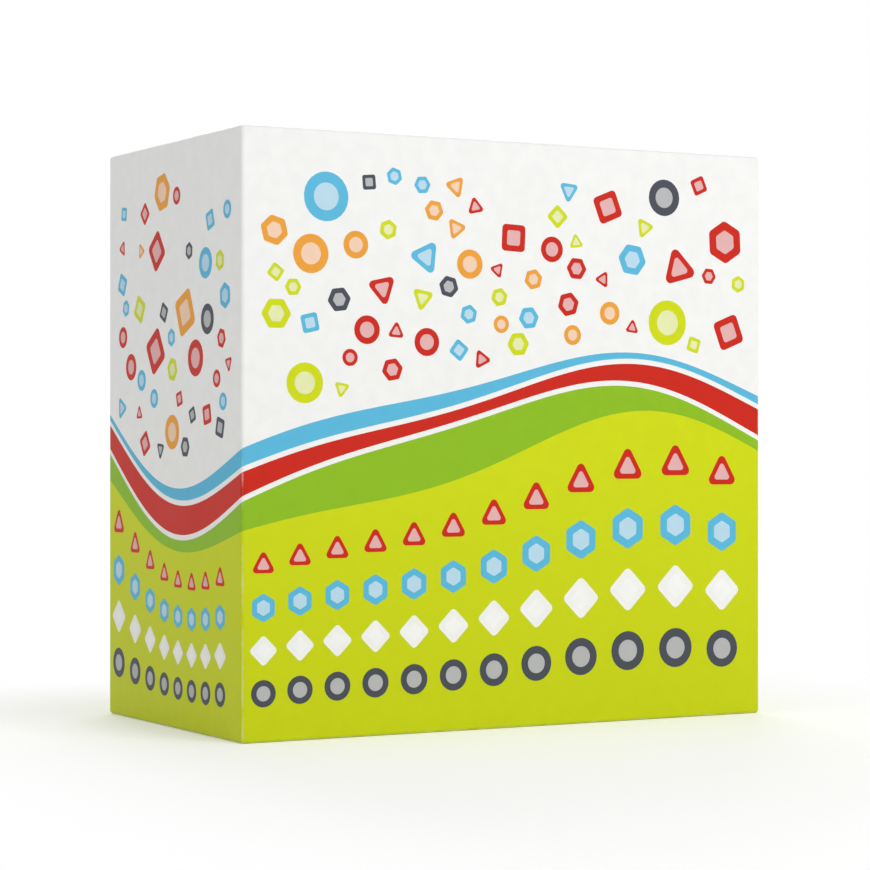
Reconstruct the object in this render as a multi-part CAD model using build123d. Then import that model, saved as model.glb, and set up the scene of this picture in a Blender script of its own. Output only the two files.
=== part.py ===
from build123d import *

import math
import os

# Boxed puzzle sorter: nested sorting trays inside a rigid board box with a full-depth telescoping lid.
# Millimetres. The closed box stands on its lower side: +Z up, the lid's printed face towards -Y.
# The origin is the middle of the closed box's footprint.

# Sorting trays. Each side of a tray has a round notch, like the socket of a jigsaw piece.
TRAY_COUNT = 6
TRAY_SIDES = 4
TRAY_SIDE = 190.0
TRAY_HEIGHT = 21.5
TRAY_WALL = 1.8
TRAY_FLOOR = 1.6
TRAY_CORNER_RADIUS = 7.0
NOTCH_RADIUS = 21.0
NOTCH_DEPTH = 24.0
NOTCH_LIP_RADIUS = 8.5
NEST_DEPTH = 4.0  # a tray's foot reaches this far into the rim of the tray behind it
NEST_CLEARANCE = 0.3
RIM_ROUNDING = 0.6
SHOULDER_ROUNDING = 0.4
FOOT_ROUNDING = 1.0
FLOOR_ROUNDING = 2.0

# Box materials: greyboard panels, paper corner stays, and a paper wrap that turns in over the rim.
BOARD = 1.5
WRAP_PAPER = 0.16
STAY_PAPER = 0.1
STAY_LEG = 18.0
TURN_IN = 16.0
FOLD_RADIUS = 1.3  # outside of the wrap, where it goes round the eased edges of the boards

# Room around the pieces. The base stands on the lid's lower wall, and the trays on the base's lower wall.
SEAT_GAP = 0.3
TRAY_TOP_ROOM = 2.42
TRAY_SIDE_ROOM = 3.86
TRAY_FRONT_ROOM = 0.68
LID_TOP_ROOM = 1.3
LID_SIDE_ROOM = 0.8
LID_FRONT_ROOM = 0.5

# Sizes that follow from those above
SKIN = WRAP_PAPER + STAY_PAPER
WALL = SKIN + BOARD + WRAP_PAPER
CLOSED_END = WRAP_PAPER + BOARD
TRAY_PITCH = TRAY_HEIGHT - NEST_DEPTH
STACK_LENGTH = TRAY_COUNT * TRAY_PITCH + NEST_DEPTH
FOOT_INSET = TRAY_WALL + NEST_CLEARANCE

BASE_WIDTH = TRAY_SIDE + 2 * (TRAY_SIDE_ROOM + WALL)
LID_WIDTH = BASE_WIDTH + 2 * (LID_SIDE_ROOM + WALL)
BASE_LOW = WALL + SEAT_GAP
TRAY_LOW = BASE_LOW + WALL + SEAT_GAP
BASE_HIGH = TRAY_LOW + TRAY_SIDE + TRAY_TOP_ROOM + WALL
LID_HIGH = BASE_HIGH + LID_TOP_ROOM + WALL
BOX_DEPTH = 2 * CLOSED_END + TRAY_FRONT_ROOM + STACK_LENGTH

FRONT = -BOX_DEPTH / 2
BACK = BOX_DEPTH / 2
BASE_RIM = FRONT + CLOSED_END + LID_FRONT_ROOM
STACK_BACK = BACK - CLOSED_END

QUARTER_TURN = 90.0


def block(x, y, z):
    """A rectangular solid between two ends along each axis, given in either order."""
    spans = (x, y, z)
    centre = [(start + end) / 2 for start, end in spans]
    size = [abs(end - start) for start, end in spans]
    return Pos(*centre) * Box(*size)


def arc_about(centre, start, end):
    """The shorter arc about a centre, from one point to another."""
    radius = (start - centre).length
    halfway = ((start - centre) + (end - centre)).normalized()
    return ThreePointArc(start, centre + halfway * radius, end)


def tray_side(inset):
    """One side of a tray's outline, with its notch and next corner, set that far in from the outside."""
    half = TRAY_SIDE / 2
    corner = half - TRAY_CORNER_RADIUS
    edge = -half + inset

    # Each lip arc is tangent to the straight edge and to the notch's arc.
    notch_centre = Vector(0, -half + NOTCH_DEPTH - NOTCH_RADIUS)
    lip_height = -half + NOTCH_LIP_RADIUS
    lip_reach = math.sqrt((NOTCH_RADIUS + NOTCH_LIP_RADIUS) ** 2 - (lip_height - notch_centre.Y) ** 2)
    left_lip = Vector(-lip_reach, lip_height)
    right_lip = Vector(lip_reach, lip_height)

    notch_radius = NOTCH_RADIUS + inset
    notch_start = notch_centre + (left_lip - notch_centre).normalized() * notch_radius
    notch_top = notch_centre + Vector(0, notch_radius)
    notch_end = notch_centre + (right_lip - notch_centre).normalized() * notch_radius

    corner_start = Vector(corner, edge)
    return [
        Line(Vector(-corner, edge), Vector(-lip_reach, edge)),
        arc_about(left_lip, Vector(-lip_reach, edge), notch_start),
        ThreePointArc(notch_start, notch_top, notch_end),
        arc_about(right_lip, notch_end, Vector(lip_reach, edge)),
        Line(Vector(lip_reach, edge), corner_start),
        arc_about(Vector(corner, -corner), corner_start, Vector(-edge, -corner)),
    ]


def tray_layer(inset, bottom, top):
    """A tray's outline, set that far in from the outside, as a solid between two heights."""
    turns = [Rot(0, 0, side * QUARTER_TURN) for side in range(TRAY_SIDES)]
    edges = [turn * edge for turn in turns for edge in tray_side(inset)]
    return Pos(0, 0, bottom) * extrude(make_face(edges), top - bottom)


def edges_at(part, height):
    """The edges that lie flat at one height."""
    return part.edges().filter_by_position(Axis.Z, height, height)


def sorting_tray():
    """One tray lying flat, its underside at height 0: a walled body on a foot that nests in a rim."""
    ledge = NEST_DEPTH + TRAY_WALL
    body = tray_layer(0, NEST_DEPTH, TRAY_HEIGHT)
    body = fillet(edges_at(body, NEST_DEPTH), SHOULDER_ROUNDING)
    foot = tray_layer(FOOT_INSET, 0, NEST_DEPTH)
    foot = fillet(edges_at(foot, 0), FOOT_ROUNDING)

    foot_pocket = tray_layer(FOOT_INSET + TRAY_WALL, TRAY_FLOOR, ledge)
    foot_pocket = fillet(edges_at(foot_pocket, TRAY_FLOOR), FLOOR_ROUNDING)
    body_pocket = tray_layer(TRAY_WALL, ledge, TRAY_HEIGHT)
    tray = body + foot - foot_pocket - body_pocket
    return fillet(edges_at(tray, TRAY_HEIGHT), RIM_ROUNDING)


def tray_stack():
    """The trays on edge, as they stand in the box, numbered from the back of the box to the front."""
    tray = sorting_tray()
    parts = {}
    for index in range(TRAY_COUNT):
        place = Pos(0, STACK_BACK - index * TRAY_PITCH, TRAY_LOW + TRAY_SIDE / 2)
        parts[f"sorting_tray_{index + 1}"] = place * Rot(QUARTER_TURN, 0, 0) * tray
    return parts


class BoxHalf:
    """The lid or the base: a closed end, four walls that run to a rim, and a paper wrap over all."""

    def __init__(self, name, end_name, width, low, high, closed, rim):
        self.name = name
        self.end_name = end_name
        self.left = -width / 2
        self.right = width / 2
        self.low = low
        self.high = high
        self.closed = closed
        self.rim = rim
        self.inward = math.copysign(1, rim - closed)

    def from_closed(self, depth):
        """A depth measured from the closed end's outer face towards the rim."""
        return self.closed + self.inward * depth

    def from_rim(self, depth):
        """A depth measured from the rim towards the closed end."""
        return self.rim - self.inward * depth

    def form(self, wall_inset, end_inset):
        """This half as a full block set in from its outside, with every fold rounded, up to the rim."""
        across = (self.left + wall_inset, self.right - wall_inset)
        upright = (self.low + wall_inset, self.high - wall_inset)
        blank = block(across, (self.from_closed(end_inset), self.rim), upright)
        folds = blank.edges() - blank.edges().filter_by_position(Axis.Y, self.rim, self.rim)
        return fillet(folds, FOLD_RADIUS - wall_inset)

    def sleeve(self, inset):
        """The four walls as a full block set in from the outside, with the folds between them rounded."""
        across = (self.left + inset, self.right - inset)
        upright = (self.low + inset, self.high - inset)
        blank = block(across, (self.closed, self.rim), upright)
        return fillet(blank.edges().filter_by(Axis.Y), FOLD_RADIUS - inset)

    def boards(self):
        """The greyboard panels: the end lies over all four walls, the side walls over top and bottom."""
        left, right = self.left + SKIN, self.right - SKIN
        low, high = self.low + SKIN, self.high - SKIN
        between = (left + BOARD, right - BOARD)
        end = (self.from_closed(WRAP_PAPER), self.from_closed(CLOSED_END))
        walls = (self.from_closed(CLOSED_END), self.from_rim(WRAP_PAPER))
        eased = self.form(SKIN, WRAP_PAPER)
        return {
            f"{self.name}_{self.end_name}_board": eased & block((left, right), end, (low, high)),
            f"{self.name}_left_board": eased & block((left, left + BOARD), walls, (low, high)),
            f"{self.name}_right_board": eased & block((right - BOARD, right), walls, (low, high)),
            f"{self.name}_top_board": block(between, walls, (high - BOARD, high)),
            f"{self.name}_bottom_board": block(between, walls, (low, low + BOARD)),
        }

    def corner_stays(self):
        """Four strips of paper glued round the outside of the wall corners, under the wrap."""
        walls = (self.from_closed(CLOSED_END), self.from_rim(WRAP_PAPER))
        skin = self.form(WRAP_PAPER, WRAP_PAPER) - self.form(SKIN, WRAP_PAPER)
        strips = []
        for side, across in ((self.left, 1), (self.right, -1)):
            for end, along in ((self.low, 1), (self.high, -1)):
                corner = block((side, side + across * STAY_LEG), walls, (end, end + along * STAY_LEG))
                strips.append((skin & corner).solid())
        return {f"{self.name}_corner_stays": Compound(strips)}

    def wrap(self):
        """The paper wrap as panels: the end and the side walls with their folds, then top and bottom."""
        left, right, low, high = self.left, self.right, self.low, self.high
        outer, inner = self.sleeve(0), self.sleeve(WRAP_PAPER)
        end_depth = (self.closed, self.from_closed(FOLD_RADIUS))
        walls = (self.from_closed(FOLD_RADIUS), self.rim)
        over_rim = (self.from_rim(WRAP_PAPER), self.rim)
        inside = (self.from_rim(WRAP_PAPER + TURN_IN), self.rim)
        behind_rim = (self.closed, self.from_rim(WRAP_PAPER))
        level = (left + WALL, right - WALL)
        upright = (low, high)

        end = self.form(0, 0) - self.form(WRAP_PAPER, WRAP_PAPER)
        panels = [(end & block((left, right), end_depth, upright)).solid()]
        for side, across in ((left, 1), (right, -1)):
            wall = (side, side + across * WALL)
            flap = block((wall[1] - across * WRAP_PAPER, wall[1]), inside, (low + WALL, high - WALL))
            hollow = block(wall, behind_rim, upright) - flap
            panel = (outer & block(wall, walls, upright)) - (inner & hollow)
            panels.append(panel.solid())
        for side, along in ((low, 1), (high, -1)):
            sheet = block(level, walls, (side, side + along * WRAP_PAPER))
            edge = block(level, over_rim, (side, side + along * WALL))
            flap = block(level, inside, (side + along * (WALL - WRAP_PAPER), side + along * WALL))
            panels.append((sheet + edge + flap).solid())
        return {f"{self.name}_wrap": Compound(panels)}

    def parts(self):
        """All the pieces of this half of the box."""
        return self.boards() | self.corner_stays() | self.wrap()


def main():
    base = BoxHalf("base", "back", BASE_WIDTH, BASE_LOW, BASE_HIGH, BACK, BASE_RIM)
    lid = BoxHalf("lid", "face", LID_WIDTH, 0, LID_HIGH, FRONT, BACK)
    os.makedirs("parts", exist_ok=True)
    for node, shape in (base.parts() | tray_stack() | lid.parts()).items():
        export_step(shape, f"parts/{node}.step")


main()
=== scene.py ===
"""Dress the boxed puzzle sorter: printed lid, plain base, greyboard, moulded trays, small studio."""
import math
import random

import bmesh
import bpy
from bpy.props import FloatProperty, FloatVectorProperty, IntProperty, PointerProperty
from mathutils import Matrix, Vector


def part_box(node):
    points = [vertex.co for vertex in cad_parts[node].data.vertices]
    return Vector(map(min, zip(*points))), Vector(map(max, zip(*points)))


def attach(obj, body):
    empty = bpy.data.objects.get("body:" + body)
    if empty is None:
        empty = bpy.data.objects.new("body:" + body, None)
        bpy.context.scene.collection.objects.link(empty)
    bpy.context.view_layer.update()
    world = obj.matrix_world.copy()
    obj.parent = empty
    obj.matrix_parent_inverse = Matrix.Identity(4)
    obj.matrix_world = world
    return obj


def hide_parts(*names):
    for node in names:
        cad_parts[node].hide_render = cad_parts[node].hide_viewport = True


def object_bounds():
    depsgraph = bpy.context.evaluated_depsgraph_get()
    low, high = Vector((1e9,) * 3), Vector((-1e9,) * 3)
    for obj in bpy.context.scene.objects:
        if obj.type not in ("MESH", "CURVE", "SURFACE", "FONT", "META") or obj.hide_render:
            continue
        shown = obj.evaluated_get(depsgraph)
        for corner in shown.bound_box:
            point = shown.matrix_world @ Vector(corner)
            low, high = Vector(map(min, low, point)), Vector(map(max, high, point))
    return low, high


bl_info = {
    "name": "Puzzle Sorter Dresser",
    "version": (1, 0, 0),
    "blender": (4, 5, 0),
    "location": "View3D > Sidebar > Sorter",
    "description": "Builds the papers, print and finishes of a boxed puzzle sorter",
    "category": "Object",
}

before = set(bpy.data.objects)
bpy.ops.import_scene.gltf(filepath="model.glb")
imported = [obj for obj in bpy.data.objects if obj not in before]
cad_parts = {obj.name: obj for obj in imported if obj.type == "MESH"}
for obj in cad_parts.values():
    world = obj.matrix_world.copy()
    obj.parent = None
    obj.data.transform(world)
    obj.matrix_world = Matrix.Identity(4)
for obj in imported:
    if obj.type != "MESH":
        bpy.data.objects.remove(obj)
CAD_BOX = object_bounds()

MM = 0.001
QUARTER = math.pi / 2

# Paper sizes, as the solids have them
PAPER = 0.16 * MM
WALL = 1.92 * MM
FOLD_RADIUS = 1.3 * MM
TURN_IN = 16 * MM
RIM_ROUNDING = 0.3 * MM

# How finely the papers are cut, and how near two corners are welded
FOLD_STEPS = 8
RIM_STEPS = 3
COLUMN_STEP = 2.5 * MM
WELD = 0.0016 * MM

# Wear of the folds from none to full, over the rim and on the turned-in flap's edge
RIM_WEAR = 0.8
FLAP_WEAR = 0.6

# Inks of the print's bands from its foot to its top, and the order of the inks on the paper
BANDS = ("lime", "green", "paper", "red", "paper", "sky", "paper")
BAND_INKS = ("paper", "lime", "green", "red", "sky")

# Waves of the print's lines, each by its length and by where it starts to rise along the paper
HILL_WAVE = (360 * MM, -40 * MM)
HILL_RIPPLE = (150 * MM, 20 * MM)
REAR_WAVE = (260 * MM, -95 * MM)
RED_WAVE = (300 * MM, 60 * MM)
SKY_WAVE = (280 * MM, -150 * MM)

# Heights of those waves against the hill's swell, the rear hill's rise and the red ribbon's width,
# and the sky ribbon's width against the red one's
RIPPLE_SHARE = 0.22
REAR_SHARE = 0.65
RED_SHARE = 0.45
SKY_SHARE = 0.3
SKY_WIDTH = 0.6

# Token shapes: corners and radius against the token's size; the last shape is round
TOKEN_SHAPES = ((3, 1.12), (4, 1.10), (6, 1.0))
ROUND_CORNERS = 24
ROUND_RADIUS = 0.94
TOKEN_ROUNDING = 0.24
ROUNDING_STEPS = 4

# The shapes' numbers: the stamp counts them from the last one
ROUND = 0
HEXAGON = 1
SQUARE = 2
TRIANGLE = 3

# Inks of the tokens, how far a token reaches into the paper, and the white in its pale middle
TOKEN_INKS = ("red", "sky", "slate", "amber", "paper", "lime")
TOKEN_SINK = 0.01 * MM
TINT_WHITE = 0.45

# Texture sizes, in the order that the materials use them. The real paper grain and spark grain are
# too fine to show, so these two are drawn coarser.
FADE_HEIGHT = 100 * MM
INK_MOTTLE = 5 * MM
SCUFF = 7 * MM
FILM_PATCH = 22 * MM
BOARD_RIPPLE = 34 * MM
PAPER_GRAIN = 0.7 * MM
PAPER_FIBRE = 0.9 * MM
BOARD_FIBRE = 1.6 * MM
STAY_FIBRE = 0.8 * MM
FLECK_SPACING = 3.2 * MM
FLOW_LENGTH = 45 * MM
SPARK_GRAIN = 0.5 * MM

# Shares of light taken from a colour, or of white mixed into it
FOOT_SHADE = 0.12
MOTTLE_SHADE = 0.06
FIBRE_SHADE = 0.28
FIBRE_WHITE = 0.12
FLECK_SHADE = 0.55
FLOW_SHADE = 0.10
FLOW_WHITE = 0.05

# Noise at which a pattern starts to tell and tells in full, and the most that it then does
MOTTLE_START = 0.35
MOTTLE_END = 0.65
MOTTLE_MOST = 0.5
# The folds' paling, a painted highlight broken up like rubbed wear
HIGHLIGHT_RUB_START = 0.40
HIGHLIGHT_RUB_END = 0.66
HIGHLIGHT_RUB_MOST = 0.35
FIBRE_START = 0.3
FIBRE_END = 0.7

# Scale of the fibres along each axis: they are longest from front to back
FIBRE_STRETCH = (1.0, 0.35, 1.0)

# Depth of the relief in the surfaces
RIPPLE_DEPTH = 0.25 * MM
GRAIN_DEPTH = 0.01 * MM
FIBRE_DEPTH = 0.05 * MM
SPARK_DEPTH = 0.02 * MM

# Gloss: roughness of the smoothest and the dullest patches, refractive index, level of the highlight
FILM_SMOOTH = 0.36
FILM_DULL = 0.48
FILM_INDEX = 1.49
FILM_HIGHLIGHT = 0.12
PULP_ROUGHNESS = 0.92
PULP_INDEX = 1.45
STYRENE_SMOOTH = 0.30
STYRENE_DULL = 0.46
STYRENE_INDEX = 1.59

# Light that goes into the trays' plastic: its share, and how deep its red, green and blue reach
STYRENE_CLOUD = 0.12
STYRENE_DEPTH = (2 * MM, 2 * MM, 0.5 * MM)

# Sockets that share their names with other kinds: colours to mix, whole numbers to compare
MIX_FACTOR = 0
MIX_FIRST = 6
MIX_SECOND = 7
MIX_RESULT = 2
COMPARE_FIRST = 2
COMPARE_SECOND = 3


def linear(code):
    """An sRGB hex colour as linear red, green, blue and full alpha."""
    shares = [int(code[start:start + 2], 16) / 255 for start in (1, 3, 5)]
    curved = [((share + 0.055) / 1.055) ** 2.4 if share > 0.04045 else share / 12.92 for share in shares]
    return [*curved, 1.0]


class SorterPrint(bpy.types.PropertyGroup):
    """The lid's printed design: hills, ribbons over them, and tokens that fall and get sorted."""

    hill_height: FloatProperty(
        name="Hill height", description="Mean height of the lime hill", default=84 * MM, unit="LENGTH")
    hill_swell: FloatProperty(
        name="Hill swell", description="Rise of the hill's crest", default=21 * MM, unit="LENGTH")
    rear_rise: FloatProperty(
        name="Rear hill", description="Mean rise over the front hill", default=11 * MM, unit="LENGTH")
    ribbon_width: FloatProperty(
        name="Ribbon width", description="Mean width of the red ribbon", default=7 * MM, unit="LENGTH")
    white_line: FloatProperty(
        name="White line", description="Bare paper beside the ribbons", default=1.8 * MM, unit="LENGTH")
    token_radius: FloatProperty(
        name="Token radius", description="Largest fallen token", default=9 * MM, unit="LENGTH")
    token_lift: FloatProperty(
        name="Token lift", description="Ink's height over the paper", default=0.03 * MM, unit="LENGTH")
    tint_share: FloatProperty(
        name="Tint share", description="A token's pale middle, by its size", default=0.56,
        subtype="FACTOR")
    seed: IntProperty(name="Seed", description="Seed of the fallen tokens", default=11)
    paper: FloatVectorProperty(
        name="Paper", description="Unprinted paper", size=4, subtype="COLOR", default=linear("#F6F6F4"))
    lime: FloatVectorProperty(
        name="Lime ink", description="Hill, tokens", size=4, subtype="COLOR", default=linear("#D2DD11"))
    green: FloatVectorProperty(
        name="Green ink", description="Rear hill", size=4, subtype="COLOR", default=linear("#8FBF22"))
    red: FloatVectorProperty(
        name="Red ink", description="Ribbon, tokens", size=4, subtype="COLOR", default=linear("#CE2718"))
    sky: FloatVectorProperty(
        name="Sky ink", description="Ribbon, tokens", size=4, subtype="COLOR", default=linear("#5DBBDF"))
    slate: FloatVectorProperty(
        name="Slate ink", description="Tokens", size=4, subtype="COLOR", default=linear("#4B4F58"))
    amber: FloatVectorProperty(
        name="Amber ink", description="Tokens", size=4, subtype="COLOR", default=linear("#EFA33A"))


class SorterBody(bpy.types.PropertyGroup):
    """The finishes under the print: base paper, greyboard and moulded trays."""

    base: FloatVectorProperty(
        name="Base paper", description="Flat ink", size=4, subtype="COLOR", default=linear("#C9D83A"))
    board: FloatVectorProperty(
        name="Greyboard", description="Bare board", size=4, subtype="COLOR", default=linear("#ABA59A"))
    stay: FloatVectorProperty(
        name="Stay paper", description="Corner stays", size=4, subtype="COLOR",
        default=linear("#C2A878"))
    tray: FloatVectorProperty(
        name="Plastic", description="Sorting trays", size=4, subtype="COLOR", default=linear("#CAD519"))


class SorterStage(bpy.types.PropertyGroup):
    """Camera, lamps and floor."""

    eye: FloatVectorProperty(
        name="Eye", description="Camera's place", default=(-0.47072, -0.84466, 0.09836),
        subtype="TRANSLATION", unit="LENGTH")
    yaw: FloatProperty(
        name="Yaw", description="Camera's turn right", default=math.radians(29.1294), unit="ROTATION")
    pitch: FloatProperty(
        name="Pitch", description="Camera's tilt upwards", default=math.radians(0.1556), unit="ROTATION")
    lens: FloatProperty(name="Lens", description="Focal length", default=110.21, unit="CAMERA")
    key_power: FloatProperty(
        name="Key", description="Front softbox in watts", default=9.5, unit="POWER")
    fill_power: FloatProperty(
        name="Fill", description="Side softbox in watts", default=2.4, unit="POWER")
    back_power: FloatProperty(
        name="Back", description="Rear softbox in watts", default=6.0, unit="POWER")
    room: FloatProperty(name="Room", description="Strength of the light from all round", default=0.45)


class SorterSettings(bpy.types.PropertyGroup):
    """All the settings of the sorter."""

    lid: PointerProperty(type=SorterPrint)
    body: PointerProperty(type=SorterBody)
    stage: PointerProperty(type=SorterStage)


# Nodes and materials


def add(tree, kind, inputs=None, **settings):
    """Add a node with its settings; each input is a plain value or the socket that feeds it."""
    node = tree.nodes.new(kind)
    for key, value in settings.items():
        setattr(node, key, value)
    for key, value in (inputs or {}).items():
        if isinstance(value, bpy.types.NodeSocket):
            tree.links.new(value, node.inputs[key])
        else:
            node.inputs[key].default_value = value
    return node


def per_metre(size):
    """A texture's scale for features of that size."""
    return 1 / size


def darker(colour, share):
    """A colour with that share of its light taken away."""
    return [part * (1 - share) for part in colour[:3]] + [1.0]


def paler(colour, share):
    """A colour mixed with that share of white."""
    return [part + (1 - part) * share for part in colour[:3]] + [1.0]


def new_material(name):
    """A new material with its tree, its shader and the coordinates of the object that wears it."""
    material = bpy.data.materials.new(name)
    material.use_nodes = True
    tree = material.node_tree
    place = add(tree, "ShaderNodeTexCoord").outputs["Object"]
    return material, tree, tree.nodes["Principled BSDF"], place


def laminated_print(name, ink, foot_ink, bare_paper):
    """Offset ink under a satin film: even colour, soft gloss, a faint ripple of board, and folds paled
    in patches: painted highlight and rubbed wear.
    """
    material, tree, shader, place = new_material(name)
    height = add(tree, "ShaderNodeSeparateXYZ", {"Vector": place}).outputs["Z"]
    rise = add(tree, "ShaderNodeMapRange", {"Value": height, "From Max": FADE_HEIGHT})
    fade = add(tree, "ShaderNodeMix", {
        MIX_FACTOR: rise.outputs["Result"], MIX_FIRST: foot_ink, MIX_SECOND: ink}, data_type="RGBA")
    mottle = add(tree, "ShaderNodeTexNoise", {
        "Vector": place, "Scale": per_metre(INK_MOTTLE), "Detail": 4.0})
    uneven = add(tree, "ShaderNodeMapRange", {
        "Value": mottle.outputs["Fac"], "From Min": MOTTLE_START, "From Max": MOTTLE_END,
        "To Max": MOTTLE_MOST})
    inked = add(tree, "ShaderNodeMix", {
        MIX_FACTOR: uneven.outputs["Result"], MIX_FIRST: fade.outputs[MIX_RESULT],
        MIX_SECOND: darker(ink, MOTTLE_SHADE)}, data_type="RGBA")

    # Painted highlight and rubbed wear: along the folds' crests the ink pales in patches towards bare
    # paper
    fold = add(tree, "ShaderNodeAttribute", attribute_name="fold_wear")
    scuff = add(tree, "ShaderNodeTexNoise", {
        "Vector": place, "Scale": per_metre(SCUFF), "Detail": 6.0})
    highlight_rub = add(tree, "ShaderNodeMath", {
        0: fold.outputs["Fac"], 1: scuff.outputs["Fac"]}, operation="MULTIPLY")
    highlight_rub_share = add(tree, "ShaderNodeMapRange", {
        "Value": highlight_rub.outputs["Value"], "From Min": HIGHLIGHT_RUB_START, "From Max": HIGHLIGHT_RUB_END,
        "To Max": HIGHLIGHT_RUB_MOST})
    highlit_rubbed_ink = add(tree, "ShaderNodeMix", {
        MIX_FACTOR: highlight_rub_share.outputs["Result"], MIX_FIRST: inked.outputs[MIX_RESULT],
        MIX_SECOND: bare_paper}, data_type="RGBA")
    tree.links.new(highlit_rubbed_ink.outputs[MIX_RESULT], shader.inputs["Base Color"])

    film = add(tree, "ShaderNodeTexNoise", {
        "Vector": place, "Scale": per_metre(FILM_PATCH), "Detail": 3.0})
    gloss = add(tree, "ShaderNodeMapRange", {
        "Value": film.outputs["Fac"], "To Min": FILM_SMOOTH, "To Max": FILM_DULL})
    tree.links.new(gloss.outputs["Result"], shader.inputs["Roughness"])
    ripple = add(tree, "ShaderNodeTexNoise", {
        "Vector": place, "Scale": per_metre(BOARD_RIPPLE), "Detail": 2.0})
    wavy = add(tree, "ShaderNodeBump", {
        "Height": ripple.outputs["Fac"], "Strength": 0.35, "Distance": RIPPLE_DEPTH})
    grain = add(tree, "ShaderNodeTexNoise", {
        "Vector": place, "Scale": per_metre(PAPER_GRAIN), "Detail": 2.0})
    surface = add(tree, "ShaderNodeBump", {
        "Height": grain.outputs["Fac"], "Strength": 0.25, "Distance": GRAIN_DEPTH,
        "Normal": wavy.outputs["Normal"]})
    tree.links.new(surface.outputs["Normal"], shader.inputs["Normal"])
    shader.inputs["IOR"].default_value = FILM_INDEX
    shader.inputs["Specular IOR Level"].default_value = FILM_HIGHLIGHT
    return material


def pressed_pulp(name, pulp, fibre_size, fleck_share):
    """Pressed recycled pulp: dull, with short fibres along the sheet and scattered dark flecks."""
    material, tree, shader, place = new_material(name)
    stretched = add(tree, "ShaderNodeMapping", {"Vector": place, "Scale": FIBRE_STRETCH})
    fibre = add(tree, "ShaderNodeTexNoise", {
        "Vector": stretched.outputs["Vector"], "Scale": per_metre(fibre_size),
        "Detail": 8.0, "Roughness": 0.7})
    ground = add(tree, "ShaderNodeMapRange", {
        "Value": fibre.outputs["Fac"], "From Min": FIBRE_START, "From Max": FIBRE_END})
    mixed = add(tree, "ShaderNodeMix", {
        MIX_FACTOR: ground.outputs["Result"], MIX_FIRST: darker(pulp, FIBRE_SHADE),
        MIX_SECOND: paler(pulp, FIBRE_WHITE)}, data_type="RGBA")
    flecks = add(tree, "ShaderNodeTexVoronoi", {"Vector": place, "Scale": per_metre(FLECK_SPACING)})
    speck = add(tree, "ShaderNodeMath", {
        0: flecks.outputs["Distance"], 1: fleck_share}, operation="LESS_THAN")
    flecked = add(tree, "ShaderNodeMix", {
        MIX_FACTOR: speck.outputs["Value"], MIX_FIRST: mixed.outputs[MIX_RESULT],
        MIX_SECOND: darker(pulp, FLECK_SHADE)}, data_type="RGBA")
    tree.links.new(flecked.outputs[MIX_RESULT], shader.inputs["Base Color"])
    surface = add(tree, "ShaderNodeBump", {
        "Height": fibre.outputs["Fac"], "Strength": 0.6, "Distance": FIBRE_DEPTH})
    tree.links.new(surface.outputs["Normal"], shader.inputs["Normal"])
    shader.inputs["Roughness"].default_value = PULP_ROUGHNESS
    shader.inputs["IOR"].default_value = PULP_INDEX
    return material


def moulded_styrene(name, colour):
    """Injection-moulded polystyrene: satin, a little translucent, fine spark texture, faint flow."""
    material, tree, shader, place = new_material(name)
    flow = add(tree, "ShaderNodeTexNoise", {
        "Vector": place, "Scale": per_metre(FLOW_LENGTH), "Detail": 3.0, "Distortion": 0.6})
    shaded = add(tree, "ShaderNodeMix", {
        MIX_FACTOR: flow.outputs["Fac"], MIX_FIRST: darker(colour, FLOW_SHADE),
        MIX_SECOND: paler(colour, FLOW_WHITE)}, data_type="RGBA")
    tree.links.new(shaded.outputs[MIX_RESULT], shader.inputs["Base Color"])
    spark = add(tree, "ShaderNodeTexNoise", {
        "Vector": place, "Scale": per_metre(SPARK_GRAIN), "Detail": 3.0})
    gloss = add(tree, "ShaderNodeMapRange", {
        "Value": spark.outputs["Fac"], "To Min": STYRENE_SMOOTH, "To Max": STYRENE_DULL})
    tree.links.new(gloss.outputs["Result"], shader.inputs["Roughness"])
    surface = add(tree, "ShaderNodeBump", {
        "Height": spark.outputs["Fac"], "Strength": 0.35, "Distance": SPARK_DEPTH})
    tree.links.new(surface.outputs["Normal"], shader.inputs["Normal"])
    shader.inputs["IOR"].default_value = STYRENE_INDEX
    shader.inputs["Subsurface Weight"].default_value = STYRENE_CLOUD
    shader.inputs["Subsurface Radius"].default_value = STYRENE_DEPTH
    shader.inputs["Subsurface Scale"].default_value = 1.0
    return material


def lid_ink(look, name, share=0.0):
    """One ink of the lid's print, made when first asked for; a share of white gives its tint."""
    label = f"satin_{name}_tint" if share else f"satin_{name}_print"
    ink = paler(getattr(look, name), share)
    foot_ink = darker(ink, FOOT_SHADE) if name == "lime" else ink
    return bpy.data.materials.get(label) or laminated_print(label, ink, foot_ink, look.paper)


def paper_inside(look):
    """The bare back of the wraps' paper, made when first asked for."""
    label = "bare_paper_back"
    return bpy.data.materials.get(label) or pressed_pulp(label, look.paper, PAPER_FIBRE, 0.0)


# Making objects


def new_object(name, mesh, materials=()):
    """An object at the origin that shows a mesh."""
    for material in materials:
        mesh.materials.append(material)
    piece = bpy.data.objects.new(name, mesh)
    bpy.context.scene.collection.objects.link(piece)
    return piece


def settle(piece):
    """Make the piece's modifiers part of its mesh."""
    depsgraph = bpy.context.evaluated_depsgraph_get()
    evaluated = piece.evaluated_get(depsgraph)
    mesh = bpy.data.meshes.new_from_object(evaluated, preserve_all_data_layers=True, depsgraph=depsgraph)
    piece.modifiers.clear()
    piece.data = mesh


def dress(node, material):
    """Give every slot of a solid's object one material."""
    if not node.material_slots:
        node.data.materials.append(material)
    for slot in node.material_slots:
        slot.material = material


# The print's lines. Along is the distance round the paper from the middle of the front, to the right.


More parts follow.
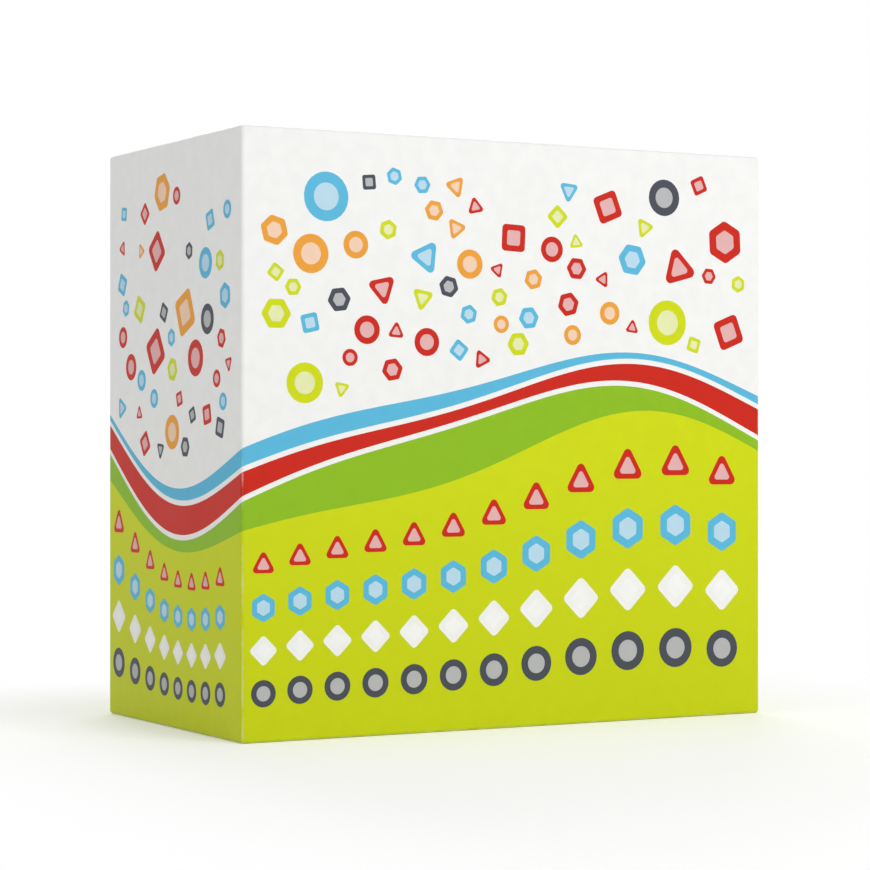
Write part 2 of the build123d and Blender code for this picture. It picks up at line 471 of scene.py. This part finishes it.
def wave(along, length, start):
    """A sine wave of that length, rising through zero at its start."""
    return math.sin(2 * math.pi * (along - start) / length)


def hill_line(look, along):
    """Height of the lime hill."""
    swell = wave(along, *HILL_WAVE) + RIPPLE_SHARE * wave(along, *HILL_RIPPLE)
    return look.hill_height + look.hill_swell * swell


def print_lines(look, along):
    """Heights of the edges between the bands of ink, from the foot of the print up."""
    hill = hill_line(look, along)
    rear = hill + look.rear_rise * (1 + REAR_SHARE * wave(along, *REAR_WAVE))
    red_foot = rear + look.white_line
    red_top = red_foot + look.ribbon_width * (1 + RED_SHARE * wave(along, *RED_WAVE))
    sky_foot = red_top + look.white_line
    sky_top = sky_foot + look.ribbon_width * (SKY_WIDTH + SKY_SHARE * wave(along, *SKY_WAVE))
    return [hill, rear, red_foot, red_top, sky_foot, sky_top]


# Folded papers


class Paper:
    """A wrap folded round the lid or the base: closed end, four walls, flaps turned in over the rim."""

    def __init__(self, node, end_at_front):
        self.low, self.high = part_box(node)
        self.end = self.low.y if end_at_front else self.high.y
        self.rim = self.high.y if end_at_front else self.low.y
        self.inward = math.copysign(1, self.rim - self.end)

    def columns(self):
        """From the rim on the left round to the rim on the right: core point, outward, along, and
        paleness, which peaks on a fold's crest (painted highlight and rubbed wear).
        """
        left, right = self.low.x + FOLD_RADIUS, self.high.x - FOLD_RADIUS
        fold = self.end + self.inward * FOLD_RADIUS
        start = self.rim - self.inward * RIM_ROUNDING
        wall_steps = math.ceil(abs(fold - start) / COLUMN_STEP)
        end_steps = math.ceil((right - left) / COLUMN_STEP)
        found = []
        for step in range(wall_steps):
            y = start + (fold - start) * step / wall_steps
            found.append((Vector((left, y)), Vector((-1, 0)), self.low.x - abs(y - self.end), 0))
        for step in range(FOLD_STEPS + 1):
            share = step / FOLD_STEPS
            outward = Vector((-math.cos(share * QUARTER), -self.inward * math.sin(share * QUARTER)))
            along = self.low.x + FOLD_RADIUS * (2 * share - 1)
            found.append((Vector((left, fold)), outward, along, math.sin(math.pi * share)))
        for step in range(1, end_steps):
            x = left + (right - left) * step / end_steps
            found.append((Vector((x, fold)), Vector((0, -self.inward)), x, 0))
        mirrored = [
            (Vector((-core.x, core.y)), Vector((-outward.x, outward.y)), -along, paleness)
            for core, outward, along, paleness in reversed(found[:wall_steps + FOLD_STEPS + 1])
        ]
        return found + mirrored

    def rows(self, lines):
        """Up the paper: height, reach from the core and paleness on the folds (painted highlight and
        rubbed wear); the print's lines lie between folds.
        """
        foot, top = self.low.z + FOLD_RADIUS, self.high.z - FOLD_RADIUS
        turns = [step / FOLD_STEPS for step in range(FOLD_STEPS)]
        drops = [FOLD_RADIUS * math.cos(share * QUARTER) for share in turns]
        reaches = [FOLD_RADIUS * math.sin(share * QUARTER) for share in turns]
        highlight_wears = [math.sin(math.pi * share) for share in turns]
        folded = list(zip(drops, reaches, highlight_wears))
        below = [(foot - drop, reach, paleness) for drop, reach, paleness in folded]
        heights = [foot, *(self.low.z + line for line in lines), top]
        flat = [(height, FOLD_RADIUS, 0) for height in heights]
        above = [(top + drop, reach, paleness) for drop, reach, paleness in reversed(folded)]
        return below + flat + above

    def inset(self, point, depth):
        """A point of the outline moved that far in from the outside of the walls."""
        moved = point.copy()
        keep = max(FOLD_RADIUS - depth, 0) / FOLD_RADIUS
        for axis in (0, 2):
            low, high = self.low[axis], self.high[axis]
            core = min(max(point[axis], low + FOLD_RADIUS), high - FOLD_RADIUS)
            moved[axis] = min(max(core + (point[axis] - core) * keep, low + depth), high - depth)
        return moved

    def rim_profile(self):
        """Over the rim and in: depth from the outside, distance behind the rim, wear."""
        turns = [step / RIM_STEPS * QUARTER for step in range(RIM_STEPS + 1)]
        starts = [RIM_ROUNDING * (1 - math.cos(turn)) for turn in turns]
        ends = [RIM_ROUNDING * (1 - math.sin(turn)) for turn in turns]
        outer = [(start, end, RIM_WEAR) for start, end in zip(starts[1:], ends[1:])]
        inner = [(WALL - end, start, FLAP_WEAR) for start, end in zip(starts, ends)]
        return [*outer, *inner, (WALL, PAPER + TURN_IN, 0)]

    def lay_grid(self, bm, highlight_wear_layer, lines_at, slots):
        """Lay the closed end, the side walls and all folds as one grid, and give back its columns."""
        columns = self.columns()
        highlight_wears = [paleness for *_, paleness in columns]
        grid = []
        for core, outward, along, column_highlight_wear in columns:
            line = []
            for height, reach, row_highlight_wear in self.rows(lines_at(along)):
                vertex = bm.verts.new((core.x + outward.x * reach, core.y + outward.y * reach, height))
                vertex[highlight_wear_layer] = max(row_highlight_wear, column_highlight_wear * reach / FOLD_RADIUS)
                line.append(vertex)
            grid.append(line)
        for column, (here, there) in enumerate(zip(grid, grid[1:])):
            turning = highlight_wears[column] + highlight_wears[column + 1] > 0
            for row, slot in enumerate(slots):
                face = bm.faces.new((here[row], there[row], there[row + 1], here[row + 1]))
                face.material_index = slot
                face.smooth = turning or row < FOLD_STEPS or row >= len(slots) - FOLD_STEPS
        return grid

    def turn_in(self, bm, highlight_wear_layer, edge, slots):
        """Carry the walls' edge over the rim and in, as flaps."""
        loop = edge
        for depth, behind, paleness in self.rim_profile():
            ring = []
            for vertex in edge:
                place = self.inset(vertex.co, depth)
                place.y = self.rim - self.inward * behind
                made = bm.verts.new(place)
                made[highlight_wear_layer] = paleness
                ring.append(made)
            for index, slot in enumerate(slots):
                after = (index + 1) % len(loop)
                face = bm.faces.new((loop[index], loop[after], ring[after], ring[index]))
                face.material_index = slot
                face.smooth = True
            loop = ring

    def fold(self, name, lines_at, bands, materials):
        """Fold the sheet: the grid, the top and bottom panels, rim and flaps, then its thickness."""
        bm = bmesh.new()
        # How far the ink pales: painted highlight and rubbed wear on the fold crests, rubbed wear over
        # the rim
        highlight_wear_layer = bm.verts.layers.float.new("fold_wear")
        slots = [bands[0]] * FOLD_STEPS + list(bands) + [bands[-1]] * FOLD_STEPS
        grid = self.lay_grid(bm, highlight_wear_layer, lines_at, slots)
        bm.faces.new([line[0] for line in grid]).material_index = bands[0]
        bm.faces.new([line[-1] for line in grid]).material_index = bands[-1]
        edge = grid[0] + grid[-1][::-1]
        self.turn_in(bm, highlight_wear_layer, edge, [*slots, bands[-1], *reversed(slots), bands[0]])

        bmesh.ops.remove_doubles(bm, verts=bm.verts, dist=WELD)
        bmesh.ops.dissolve_degenerate(bm, edges=bm.edges, dist=WELD)
        bmesh.ops.recalc_face_normals(bm, faces=bm.faces)
        highest = max(bm.faces, key=lambda face: face.calc_center_median().z)
        if highest.normal.z < 0:
            bmesh.ops.reverse_faces(bm, faces=bm.faces)
        mesh = bpy.data.meshes.new(name)
        bm.to_mesh(mesh)
        bm.free()
        piece = new_object(name, mesh, materials)
        thickness = piece.modifiers.new("Paper", "SOLIDIFY")
        thickness.thickness = PAPER
        thickness.offset = -1
        thickness.use_even_offset = True
        thickness.material_offset = len(materials) - 1
        thickness.material_offset_rim = len(materials) - 1
        settle(piece)
        return piece


# Printed tokens


class PrintFace:
    """A flat face of the lid for tokens: its middle at the foot, and its right and up directions."""

    def __init__(self, middle, right, up, width, height, along):
        self.middle = Vector(middle)
        self.right = Vector(right)
        self.up = Vector(up)
        self.normal = self.right.cross(self.up)
        self.width = width
        self.height = height
        self.along = along

    def point(self, across, up):
        """A point of the face, just under the paper's surface."""
        return self.middle + self.right * across + self.up * up - self.normal * TOKEN_SINK

    def turn(self, spin):
        """Euler angles of a token that lies on the face, spun about its middle."""
        face = Matrix((self.right, self.up, self.normal)).transposed()
        return (face @ Matrix.Rotation(spin, 3, "Z")).to_euler()


def lid_faces():
    """The faces of the lid that carry tokens; along is the place of a face's middle round the paper."""
    low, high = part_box("lid_wrap")
    width, depth, height = high - low
    middle_y = (low.y + high.y) / 2
    reach = (width + depth) / 2
    return {
        "front": PrintFace((0, low.y, low.z), (1, 0, 0), (0, 0, 1), width, height, 0),
        "left": PrintFace((low.x, middle_y, low.z), (0, -1, 0), (0, 0, 1), depth, height, -reach),
        "right": PrintFace((high.x, middle_y, low.z), (0, 1, 0), (0, 0, 1), depth, height, reach),
        "top": PrintFace((0, low.y, high.z), (1, 0, 0), (0, 1, 0), width, depth, 0),
    }


class Tokens:
    """A list of tokens to stamp: place, turn, size, shape and ink."""

    def __init__(self):
        self.places = []
        self.turns = []
        self.sizes = []
        self.shapes = []
        self.inks = []

    def put(self, face, across, up, size, shape, ink, spin):
        """Add one token on a face."""
        self.places.append(face.point(across, up))
        self.turns.append(face.turn(spin))
        self.sizes.append(size)
        self.shapes.append(shape)
        self.inks.append(TOKEN_INKS.index(ink))

    def mesh(self, name):
        """The tokens as loose points with their values as attributes."""
        points = bpy.data.meshes.new(name)
        points.from_pydata(self.places, [], [])
        flat_turns = [angle for turn in self.turns for angle in turn]
        points.attributes.new("turn", "FLOAT_VECTOR", "POINT").data.foreach_set("vector", flat_turns)
        points.attributes.new("size", "FLOAT", "POINT").data.foreach_set("value", self.sizes)
        points.attributes.new("shape", "INT", "POINT").data.foreach_set("value", self.shapes)
        points.attributes.new("ink", "INT", "POINT").data.foreach_set("value", self.inks)
        return points


def token_stamp(look):
    """A node tree that stamps a flat token with a pale middle on every point, in the point's ink."""
    tree = bpy.data.node_groups.new("token_stamp", "GeometryNodeTree")
    tree.interface.new_socket("Points", in_out="INPUT", socket_type="NodeSocketGeometry")
    for size_name in ("Ink Height", "Tint Height", "Tint Share", "Corner Rounding"):
        tree.interface.new_socket(size_name, in_out="INPUT", socket_type="NodeSocketFloat")
    tree.interface.new_socket("Tokens", in_out="OUTPUT", socket_type="NodeSocketGeometry")
    given = add(tree, "NodeGroupInput").outputs
    read = {}
    for name, kind in (("turn", "FLOAT_VECTOR"), ("size", "FLOAT"), ("shape", "INT"), ("ink", "INT")):
        value = add(tree, "GeometryNodeInputNamedAttribute", {"Name": name}, data_type=kind)
        read[name] = value.outputs["Attribute"]
    rotation = add(tree, "FunctionNodeEulerToRotation", {"Euler": read["turn"]}).outputs["Rotation"]
    outlines = []
    for corners, radius in TOKEN_SHAPES:
        ring = add(tree, "GeometryNodeCurvePrimitiveCircle", {"Resolution": corners, "Radius": radius})
        eased = add(tree, "GeometryNodeFilletCurve", {
            "Curve": ring.outputs["Curve"], "Radius": given["Corner Rounding"],
            "Count": ROUNDING_STEPS}, mode="POLY")
        filled = add(tree, "GeometryNodeFillCurve", {"Curve": eased.outputs["Curve"]}, mode="NGONS")
        outlines.append(filled.outputs["Mesh"])
    disc = add(tree, "GeometryNodeMeshCircle", {
        "Vertices": ROUND_CORNERS, "Radius": ROUND_RADIUS}, fill_type="NGON")
    outlines.append(disc.outputs["Mesh"])

    layers = add(tree, "GeometryNodeJoinGeometry")
    whole = (given["Ink Height"], 1.0, 0.0)
    middle = (given["Tint Height"], given["Tint Share"], TINT_WHITE)
    for height, share, white in (whole, middle):
        shapes = add(tree, "GeometryNodeGeometryToInstance")
        for outline in outlines:
            raised = add(tree, "GeometryNodeExtrudeMesh", {
                "Mesh": outline, "Offset Scale": height, "Individual": False}, mode="FACES")
            under = add(tree, "GeometryNodeFlipFaces", {"Mesh": outline})
            token = add(tree, "GeometryNodeJoinGeometry")
            tree.links.new(raised.outputs["Mesh"], token.inputs["Geometry"])
            tree.links.new(under.outputs["Mesh"], token.inputs["Geometry"])
            closed = add(tree, "GeometryNodeMergeByDistance", {
                "Geometry": token.outputs["Geometry"], "Distance": WELD})
            tree.links.new(closed.outputs["Geometry"], shapes.inputs["Geometry"])
        size = add(tree, "ShaderNodeMath", {0: read["size"], 1: share}, operation="MULTIPLY")
        scale = add(tree, "ShaderNodeCombineXYZ", {
            "X": size.outputs["Value"], "Y": size.outputs["Value"], "Z": 1.0})
        stamped = add(tree, "GeometryNodeInstanceOnPoints", {
            "Points": given["Points"], "Instance": shapes.outputs["Instances"], "Pick Instance": True,
            "Instance Index": read["shape"], "Rotation": rotation, "Scale": scale.outputs["Vector"]})
        geometry = add(tree, "GeometryNodeRealizeInstances", {
            "Geometry": stamped.outputs["Instances"]}).outputs["Geometry"]
        for index, name in enumerate(TOKEN_INKS):
            chosen = add(tree, "FunctionNodeCompare", {
                COMPARE_FIRST: read["ink"], COMPARE_SECOND: index}, data_type="INT", operation="EQUAL")
            geometry = add(tree, "GeometryNodeSetMaterial", {
                "Geometry": geometry, "Selection": chosen.outputs["Result"],
                "Material": lid_ink(look, name, white)}).outputs["Geometry"]
        tree.links.new(geometry, layers.inputs["Geometry"])
    add(tree, "NodeGroupOutput", {"Tokens": layers.outputs["Geometry"]})
    return tree


def stamp(name, tokens, look):
    """Stamp a list of tokens and make the result a plain mesh that rides on the lid."""
    piece = new_object(name, tokens.mesh(name))
    stamping = piece.modifiers.new("Tokens", "NODES")
    stamping.node_group = bpy.data.node_groups.get("token_stamp") or token_stamp(look)
    values = {
        "Ink Height": TOKEN_SINK + look.token_lift, "Tint Height": TOKEN_SINK + 2 * look.token_lift,
        "Tint Share": look.tint_share, "Corner Rounding": TOKEN_ROUNDING,
    }
    for socket in stamping.node_group.interface.items_tree:
        if socket.name in values:
            stamping[socket.identifier] = values[socket.name]
    settle(piece)
    bm = bmesh.new()
    bm.from_mesh(piece.data)
    bmesh.ops.recalc_face_normals(bm, faces=bm.faces)
    bm.to_mesh(piece.data)
    bm.free()
    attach(piece, "lid")


# Operators


class SORTER_OT_lid_paper(bpy.types.Operator):
    """Fold the printed paper round the lid"""

    bl_idname = "sorter.lid_paper"
    bl_label = "Lid paper"

    def execute(self, context):
        look = context.scene.sorter.lid
        materials = [lid_ink(look, name) for name in BAND_INKS] + [paper_inside(look)]
        bands = [BAND_INKS.index(name) for name in BANDS]
        paper = Paper("lid_wrap", end_at_front=True)
        piece = paper.fold("lid_printed_paper", lambda along: print_lines(look, along), bands, materials)
        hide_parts("lid_wrap")
        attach(piece, "lid")
        return {"FINISHED"}


class SORTER_OT_base_paper(bpy.types.Operator):
    """Fold the plain paper round the base"""

    bl_idname = "sorter.base_paper"
    bl_label = "Base paper"

    def execute(self, context):
        settings = context.scene.sorter
        ink = settings.body.base
        outside = laminated_print("satin_base_ink", ink, ink, settings.lid.paper)
        paper = Paper("base_wrap", end_at_front=False)
        materials = [outside, paper_inside(settings.lid)]
        piece = paper.fold("base_plain_paper", lambda along: [], [0], materials)
        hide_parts("base_wrap")
        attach(piece, "base")
        return {"FINISHED"}


class SORTER_OT_sorted_tokens(bpy.types.Operator):
    """Stamp the rows of sorted tokens on the lime hill"""

    bl_idname = "sorter.sorted_tokens"
    bl_label = "Sorted tokens"

    # Ink, shape and place of each row, as a share of the hill's height
    ROWS = (
        ("red", TRIANGLE, 0.83), ("sky", HEXAGON, 0.63), ("paper", SQUARE, 0.43), ("slate", ROUND, 0.23),
    )

    # A row's height against the hill's, a token's radius against the row, and its step against that
    ROW_SHARE = 0.2
    SIZE_SHARE = 0.34
    STEP_SHARE = 2.75
    MARGIN = 3 * MM

    def execute(self, context):
        look = context.scene.sorter.lid
        faces = lid_faces()
        tokens = Tokens()
        for face in (faces["front"], faces["left"], faces["right"]):
            for ink, shape, share in self.ROWS:
                across = -face.width / 2 + self.MARGIN
                while across < face.width / 2:
                    hill = hill_line(look, face.along + across)
                    size = hill * self.ROW_SHARE * self.SIZE_SHARE
                    across += size
                    if across + size + self.MARGIN < face.width / 2:
                        tokens.put(face, across, hill * share, size, shape, ink, QUARTER)
                    across += size * (self.STEP_SHARE - 1)
        stamp("sorted_tokens", tokens, look)
        return {"FINISHED"}


class SORTER_OT_fallen_tokens(bpy.types.Operator):
    """Stamp the mixed tokens that fall over the white of the print"""

    bl_idname = "sorter.fallen_tokens"
    bl_label = "Fallen tokens"

    # Tries on each face, and the inks that are drawn from
    TRIES = {"front": 700, "left": 320, "right": 320, "top": 330}
    MIX = ("red", "red", "red", "sky", "sky", "slate", "amber", "lime")

    # The smallest token against the largest, how far small ones prevail, and how they thin upwards
    LEAST_SHARE = 0.34
    SMALLNESS = 2
    THINNING = 1.6
    GAP = 1.6 * MM
    MARGIN = 4 * MM

    def execute(self, context):
        look = context.scene.sorter.lid
        chance = random.Random(look.seed)
        tokens = Tokens()
        for name, face in lid_faces().items():
            taken = []
            for _ in range(self.TRIES[name]):
                share = self.LEAST_SHARE + (1 - self.LEAST_SHARE) * chance.random() ** self.SMALLNESS
                size = look.token_radius * share
                across = (chance.random() - 0.5) * (face.width - 2 * (size + self.MARGIN))
                foot = size + self.MARGIN
                if name != "top":
                    foot += print_lines(look, face.along + across)[-1]
                top = face.height - size - self.MARGIN
                rise = chance.random()
                up = foot + (top - foot) * rise
                kept = chance.random() > rise ** self.THINNING
                clear = all(
                    math.hypot(across - x, up - z) > size + other + self.GAP for x, z, other in taken)
                shape = chance.randrange(len(TOKEN_SHAPES) + 1)
                ink = chance.choice(self.MIX)
                spin = chance.uniform(0, 2 * math.pi)
                if kept and clear:
                    taken.append((across, up, size))
                    tokens.put(face, across, up, size, shape, ink, spin)
        stamp("fallen_tokens", tokens, look)
        return {"FINISHED"}


class SORTER_OT_boards(bpy.types.Operator):
    """Finish the greyboard panels and the corner stays"""

    bl_idname = "sorter.boards"
    bl_label = "Boards and stays"

    BOARD_FLECKS = 0.14
    STAY_FLECKS = 0.05

    def execute(self, context):
        body = context.scene.sorter.body
        board = pressed_pulp("greyboard", body.board, BOARD_FIBRE, self.BOARD_FLECKS)
        stay = pressed_pulp("kraft_stay_paper", body.stay, STAY_FIBRE, self.STAY_FLECKS)
        for name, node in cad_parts.items():
            if name.endswith("_board"):
                dress(node, board)
            if name.endswith("_stays"):
                dress(node, stay)
        return {"FINISHED"}


class SORTER_OT_trays(bpy.types.Operator):
    """Finish the sorting trays"""

    bl_idname = "sorter.trays"
    bl_label = "Sorting trays"

    def execute(self, context):
        styrene = moulded_styrene("lime_moulded_styrene", context.scene.sorter.body.tray)
        for name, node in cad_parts.items():
            if name.startswith("sorting_tray"):
                dress(node, styrene)
        return {"FINISHED"}


class SORTER_OT_stage(bpy.types.Operator):
    """Set up the floor, the lamps, the white surroundings and the camera"""

    bl_idname = "sorter.stage"
    bl_label = "Stage"

    # Metres, apart from the floor's colour, roughness and glow
    FLOOR_HALF = 8.0
    FLOOR_WHITE = "#F7F7F7"
    FLOOR_ROUGHNESS = 0.9
    FLOOR_GLOW = 0.2
    SHADOW_REACH = 0.14
    SLIDE_OUT = 0.65
    KEY_PLACE = (0.35, -1.25, 0.75)
    KEY_SIZE = 1.0
    FILL_PLACE = (-1.3, -0.25, 0.55)
    FILL_SIZE = 0.8
    BACK_PLACE = (0.5, 1.2, 0.95)
    BACK_SIZE = 1.0
    AIM = Vector((0, 0, 0.1))
    NEAREST = 0.01

    def execute(self, context):
        stage = context.scene.sorter.stage
        context.scene.view_settings.view_transform = "Standard"
        self.lay_floor()
        self.light_room(context.scene, stage.room)
        self.hang_softbox("key_softbox", self.KEY_PLACE, self.KEY_SIZE, stage.key_power)
        self.hang_softbox("fill_softbox", self.FILL_PLACE, self.FILL_SIZE, stage.fill_power)
        self.hang_softbox("back_softbox", self.BACK_PLACE, self.BACK_SIZE, stage.back_power)
        self.place_camera(context.scene, stage)
        return {"FINISHED"}

    def seen_rays(self, tree):
        """One for rays that show the surroundings: from the camera, or by way of gloss or glass."""
        rays = add(tree, "ShaderNodeLightPath").outputs
        mirrored = add(tree, "ShaderNodeMath", {
            0: rays["Is Glossy Ray"], 1: rays["Is Transmission Ray"]}, operation="MAXIMUM")
        seen = add(tree, "ShaderNodeMath", {
            0: rays["Is Camera Ray"], 1: mirrored.outputs["Value"]}, operation="MAXIMUM")
        return seen.outputs["Value"]

    def lay_floor(self):
        """A wide pale floor, plain white past the shadows of the box and of what slides out in front."""
        half = self.FLOOR_HALF
        corners = [(-half, -half, 0), (half, -half, 0), (half, half, 0), (-half, half, 0)]
        mesh = bpy.data.meshes.new("floor")
        mesh.from_pydata(corners, [], [(0, 1, 2, 3)])
        material, tree, shader, place = new_material("pale_floor")
        shader.inputs["Base Color"].default_value = linear(self.FLOOR_WHITE)
        shader.inputs["Roughness"].default_value = self.FLOOR_ROUGHNESS
        forward = Vector((0, self.SLIDE_OUT / 2, 0))
        centred = add(tree, "ShaderNodeVectorMath", {0: place, 1: forward}, operation="ADD")
        sides = add(tree, "ShaderNodeVectorMath", {0: centred.outputs["Vector"]}, operation="ABSOLUTE")
        past = add(tree, "ShaderNodeVectorMath", {
            0: sides.outputs["Vector"], 1: CAD_BOX[1] + forward}, operation="SUBTRACT")
        outside = add(tree, "ShaderNodeVectorMath", {0: past.outputs["Vector"]}, operation="MAXIMUM")
        distance = add(tree, "ShaderNodeVectorMath", {0: outside.outputs["Vector"]}, operation="LENGTH")
        away = add(tree, "ShaderNodeMapRange", {
            "Value": distance.outputs["Value"], "From Max": self.SHADOW_REACH},
            interpolation_type="SMOOTHSTEP")
        seen = self.seen_rays(tree)
        glow = add(tree, "ShaderNodeMath", {0: seen, 1: self.FLOOR_GLOW}, operation="MULTIPLY")
        lift = add(tree, "ShaderNodeEmission", {"Strength": glow.outputs["Value"]})
        lifted = add(tree, "ShaderNodeAddShader", {
            0: shader.outputs["BSDF"], 1: lift.outputs["Emission"]})
        share = add(tree, "ShaderNodeMath", {0: away.outputs["Result"], 1: seen}, operation="MULTIPLY")
        white = add(tree, "ShaderNodeEmission", {"Strength": 1.0})
        mixed = add(tree, "ShaderNodeMixShader", {
            0: share.outputs["Value"], 1: lifted.outputs["Shader"], 2: white.outputs["Emission"]})
        tree.links.new(mixed.outputs["Shader"], tree.nodes["Material Output"].inputs["Surface"])
        new_object("floor", mesh, [material])

    def light_room(self, scene, strength):
        """Soft light from all round, with plain white where the camera looks past the box."""
        scene.world = bpy.data.worlds.new("white_room")
        scene.world.use_nodes = True
        tree = scene.world.node_tree
        soft = tree.nodes["Background"]
        soft.inputs["Color"].default_value = (1, 1, 1, 1)
        soft.inputs["Strength"].default_value = strength
        white = add(tree, "ShaderNodeBackground", {"Color": (1, 1, 1, 1), "Strength": 1.0})
        mixed = add(tree, "ShaderNodeMixShader", {
            0: self.seen_rays(tree), 1: soft.outputs["Background"], 2: white.outputs["Background"]})
        tree.links.new(mixed.outputs["Shader"], tree.nodes["World Output"].inputs["Surface"])

    def hang_softbox(self, name, place, size, power):
        """A square area lamp that faces the box."""
        lamp = bpy.data.lights.new(name, "AREA")
        lamp.shape = "SQUARE"
        lamp.size = size
        lamp.energy = power
        hung = bpy.data.objects.new(name, lamp)
        hung.location = place
        hung.rotation_euler = (self.AIM - hung.location).to_track_quat("-Z", "Y").to_euler()
        bpy.context.scene.collection.objects.link(hung)

    def place_camera(self, scene, stage):
        """The camera at the photograph's viewing angle."""
        camera = bpy.data.cameras.new("camera")
        camera.lens = stage.lens
        camera.clip_start = self.NEAREST
        placed = bpy.data.objects.new("camera", camera)
        placed.location = stage.eye
        placed.rotation_euler = (QUARTER + stage.pitch, 0, -stage.yaw)
        scene.collection.objects.link(placed)
        scene.camera = placed


OPERATORS = (
    SORTER_OT_lid_paper, SORTER_OT_base_paper, SORTER_OT_sorted_tokens, SORTER_OT_fallen_tokens,
    SORTER_OT_boards, SORTER_OT_trays, SORTER_OT_stage,
)


class SORTER_PT_sidebar(bpy.types.Panel):
    """Lists the steps that dress the sorter"""

    bl_idname = "SORTER_PT_sidebar"
    bl_label = "Puzzle sorter"
    bl_space_type = "VIEW_3D"
    bl_region_type = "UI"
    bl_category = "Sorter"

    def draw(self, context):
        for operator in OPERATORS:
            self.layout.operator(operator.bl_idname)


CLASSES = (SorterPrint, SorterBody, SorterStage, SorterSettings, *OPERATORS, SORTER_PT_sidebar)


def register():
    for known in CLASSES:
        bpy.utils.register_class(known)
    bpy.types.Scene.sorter = PointerProperty(type=SorterSettings)


def unregister():
    del bpy.types.Scene.sorter
    for known in reversed(CLASSES):
        bpy.utils.unregister_class(known)


def main():
    register()
    bpy.ops.sorter.lid_paper()
    bpy.ops.sorter.base_paper()
    bpy.ops.sorter.sorted_tokens()
    bpy.ops.sorter.fallen_tokens()
    bpy.ops.sorter.boards()
    bpy.ops.sorter.trays()
    bpy.ops.sorter.stage()


if __name__ == "__main__":
    main()
